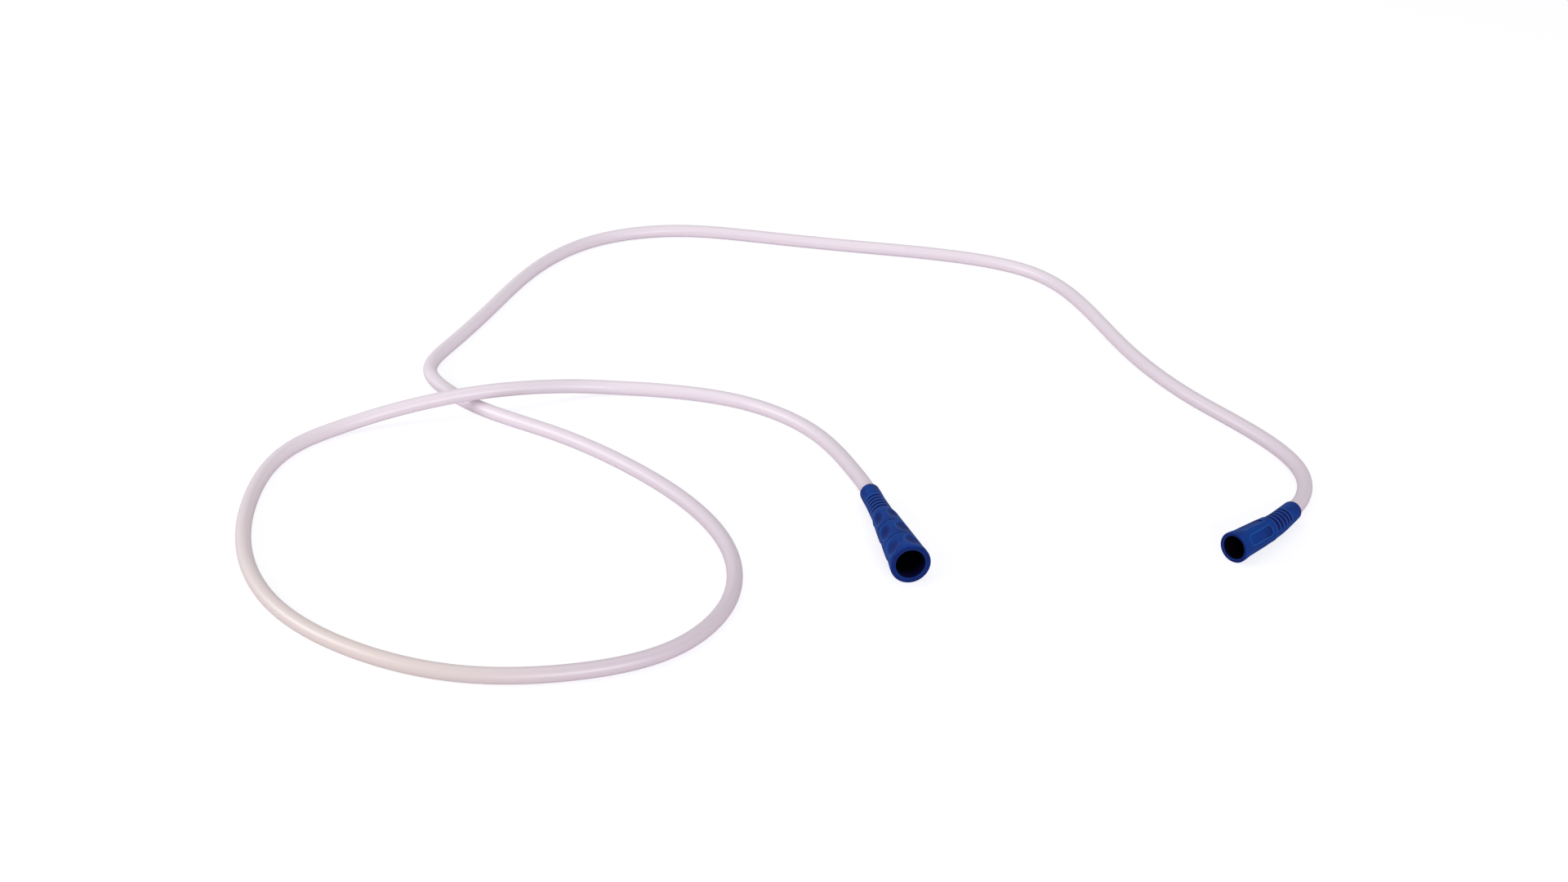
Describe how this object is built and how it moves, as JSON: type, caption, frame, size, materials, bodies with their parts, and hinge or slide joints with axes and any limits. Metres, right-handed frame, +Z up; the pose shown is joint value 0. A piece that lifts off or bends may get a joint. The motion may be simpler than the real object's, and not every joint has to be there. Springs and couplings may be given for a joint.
{
  "type": "suction tube",
  "caption": "Soft clear suction hose lying in a loose loop, with a dimpled funnel connector on one end and a small cuff connector on the other.",
  "frame": {"origin": "on the floor, in the middle of the box round the two connectors", "axes": "+Z up from the floor, +X from the funnel connector towards the cuff connector, and the funnel's mouth faces -Y"},
  "size_m": [0.5802, 0.5257, 0.0214],
  "materials": {
    "connector_blue": "satin, soft moulded plastic",
    "hose_clear": "frosted, translucent"
  },
  "bodies": {
    "root": {"funnel_connector": "connector_blue", "cuff_connector": "connector_blue", "pvc_hose": "hose_clear"}
  },
  "joints": []
}
